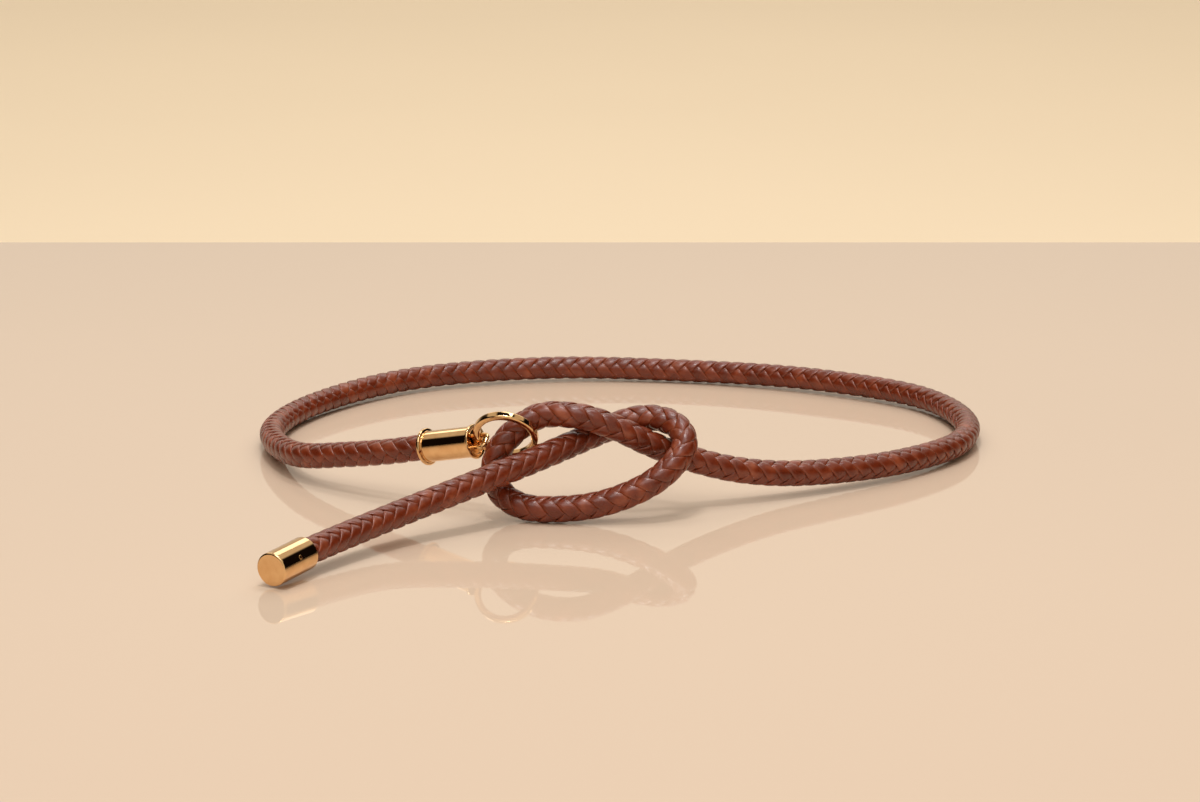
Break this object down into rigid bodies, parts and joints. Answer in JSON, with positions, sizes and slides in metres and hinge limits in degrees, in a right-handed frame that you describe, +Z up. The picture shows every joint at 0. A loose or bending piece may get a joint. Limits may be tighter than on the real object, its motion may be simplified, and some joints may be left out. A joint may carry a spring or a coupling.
{
  "type": "braided leather belt",
  "caption": "Round belt of braided leather cord, lying as a waist loop: one end carries a ferrule with a ring, the other passes through the ring, is knotted and ends in a metal cap.",
  "frame": {"origin": "centre of the bounding box on the plane the belt lies on", "axes": "+Z up from that plane; -Y towards the knot and the end cap; +X to the right, away from the ferrule's side of the loop"},
  "size_m": [0.2969, 0.3538, 0.0429],
  "materials": {
    "braided_leather": "semi-gloss dyed laces with a fine grain",
    "core": "twisted cotton, undyed",
    "whipping_thread": "waxed thread",
    "gold_plate": "polished pale gold plate",
    "pin_brass": "polished"
  },
  "bodies": {
    "belt": {"cord_core": "core", "braided_sheath": "braided_leather", "ferrule_whipping": "whipping_thread", "cap_whipping": "whipping_thread", "ferrule_barrel": "gold_plate", "ferrule_end_plate": "gold_plate", "ring_bail": "gold_plate", "end_cap": "gold_plate", "cap_pin": "pin_brass"},
    "ring": {"ring": "gold_plate"}
  },
  "joints": [
    {"name": "ring_swing", "type": "hinge", "parent": "belt", "child": "ring", "pos_m": [-0.0513, -0.06552, 0.02814], "axis": [0.2643, 0.7214, 0.6401], "range_deg": [-8, 8]}
  ]
}
